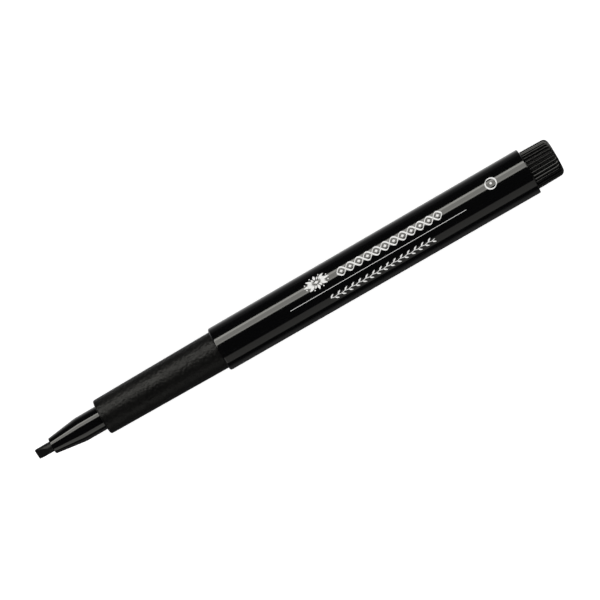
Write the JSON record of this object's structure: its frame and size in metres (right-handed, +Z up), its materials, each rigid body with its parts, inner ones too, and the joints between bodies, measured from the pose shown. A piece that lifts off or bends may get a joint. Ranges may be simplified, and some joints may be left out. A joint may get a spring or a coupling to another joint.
{
  "type": "calligraphy marker",
  "caption": "Slim round calligraphy marker without its cap: broad chisel fibre nib, tapered nose, matt grip, glossy black barrel and fluted end plug.",
  "frame": {"origin": "under the middle of the pen's length, on the surface that it lies on", "axes": "+X along the pen from the nib to the end plug, +Z up, the chisel's long face looks up and towards -Y"},
  "size_m": [0.1366, 0.0112, 0.0113],
  "materials": {
    "glossy_black": "polished moulding",
    "matt_black": "fine spark-eroded texture",
    "nose_black": "polished moulding",
    "inked_nib": "bonded fibre soaked in black ink",
    "inked_fibre": "bonded fibre soaked in black ink",
    "clear_film": "thin clear film",
    "plug_black": "fluted moulding, satin",
    "white_print": "thin white pad print on the barrel"
  },
  "bodies": {
    "pen_body": {"barrel": "glossy_black", "grip_section": "matt_black", "nose_cone": "nose_black", "ink_reservoir": "inked_fibre", "reservoir_film": "clear_film"},
    "nib": {"chisel_nib": "inked_nib"},
    "plug": {"end_plug": "plug_black"}
  },
  "joints": [
    {"name": "nib_pull", "type": "slide", "parent": "pen_body", "child": "nib", "axis": [-1, 0, 0], "range_m": [0, 0.028]},
    {"name": "plug_pull", "type": "slide", "parent": "pen_body", "child": "plug", "axis": [1, 0, 0], "range_m": [0, 0.011]}
  ]
}
